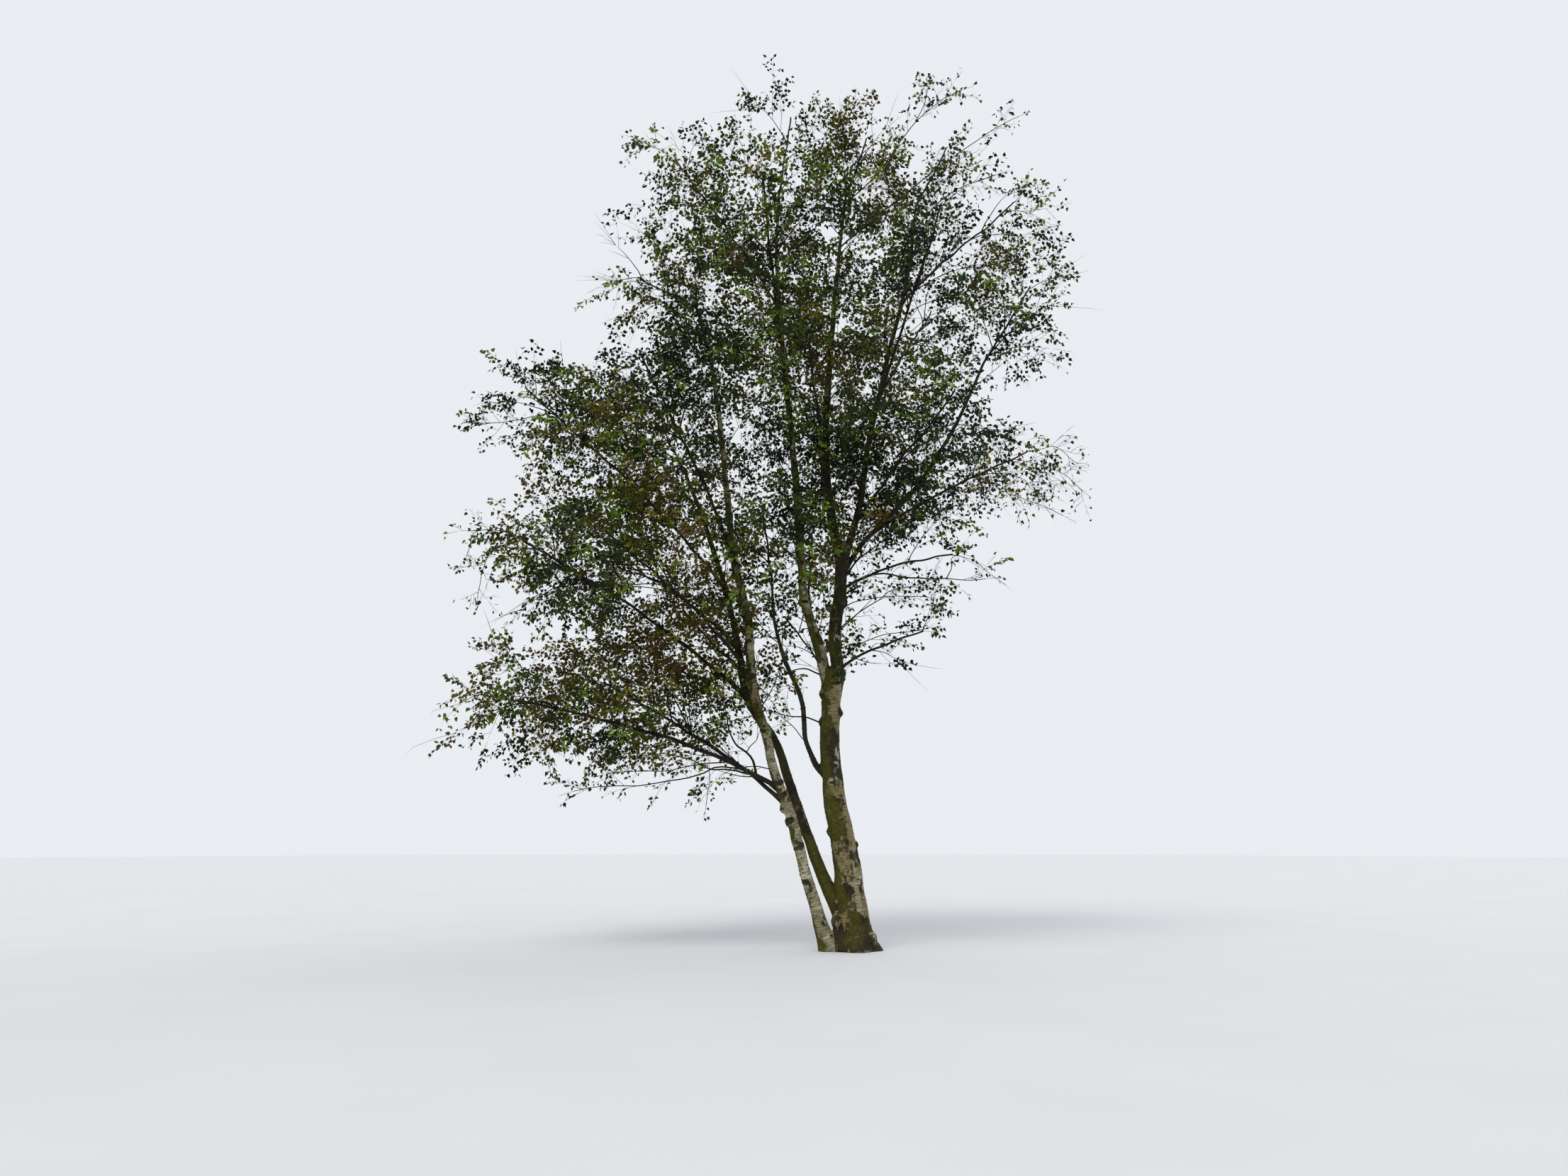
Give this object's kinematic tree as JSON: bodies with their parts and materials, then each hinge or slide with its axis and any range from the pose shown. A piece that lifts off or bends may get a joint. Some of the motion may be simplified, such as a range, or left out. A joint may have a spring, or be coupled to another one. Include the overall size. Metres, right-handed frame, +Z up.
{
  "type": "birch tree",
  "caption": "Tall multi-stemmed birch tree in early autumn leaf: a trunk that forks, pale and mossy side stems, long boughs and separate masses of drooping foliage.",
  "frame": {"origin": "on the flat cut under the trunk's foot, at ground level", "axes": "+Z up along the tree's height, +X to the right and +Y away, as seen in the picture"},
  "size_m": [8.1871, 5.1348, 11.9294],
  "materials": {
    "pale_bark": "papery pale bark with dark marks",
    "mossy_bark": "rough dark bark with moss",
    "dark_bark": "dull dark bark",
    "foliage": "matt to satin leaves on thin dark twigs"
  },
  "bodies": {
    "root": {"bough_between": "dark_bark", "bough_high_back": "dark_bark", "bough_high_front": "dark_bark", "bough_left_front": "dark_bark", "bough_left_tip": "dark_bark", "bough_low_back": "dark_bark", "bough_low_left": "dark_bark", "bough_low_left_tip": "dark_bark", "bough_mid_back": "dark_bark", "bough_mid_front": "dark_bark", "bough_mid_left_back": "dark_bark", "bough_mid_left_front": "dark_bark", "bough_mid_left_tip": "dark_bark", "bough_right_high_back": "dark_bark", "bough_right_high_front": "dark_bark", "bough_right_low": "dark_bark", "bough_right_mid_back": "dark_bark", "bough_right_mid_front": "dark_bark", "bough_right_mid_tip": "dark_bark", "bough_right_shelf": "dark_bark", "bough_top_far_right": "dark_bark", "bough_top_left": "dark_bark", "foliage_between": "foliage", "foliage_high_back": "foliage", "foliage_high_front": "foliage", "foliage_inner_left": "foliage", "foliage_left_back": "foliage", "foliage_left_front": "foliage", "foliage_left_high": "foliage", "foliage_left_tip": "foliage", "foliage_low_back": "foliage", "foliage_low_front": "foliage", "foliage_low_left": "foliage", "foliage_low_left_tip": "foliage", "foliage_mid_back": "foliage", "foliage_mid_front": "foliage", "foliage_mid_left_back": "foliage", "foliage_mid_left_front": "foliage", "foliage_mid_left_tip": "foliage", "foliage_right_high_back": "foliage", "foliage_right_high_front": "foliage", "foliage_right_low": "foliage", "foliage_right_mid_back": "foliage", "foliage_right_mid_front": "foliage", "foliage_right_mid_tip": "foliage", "foliage_right_shelf": "foliage", "foliage_right_tip": "foliage", "foliage_top": "foliage", "foliage_top_far_right": "foliage", "foliage_top_left": "foliage", "foliage_top_middle": "foliage", "foliage_top_right": "foliage", "left_leader": "pale_bark", "left_stem": "pale_bark", "mid_stem": "mossy_bark", "right_leader": "dark_bark", "right_limb_out": "dark_bark", "right_limb_up": "dark_bark", "side_stem": "dark_bark", "trunk": "pale_bark"}
  },
  "joints": []
}
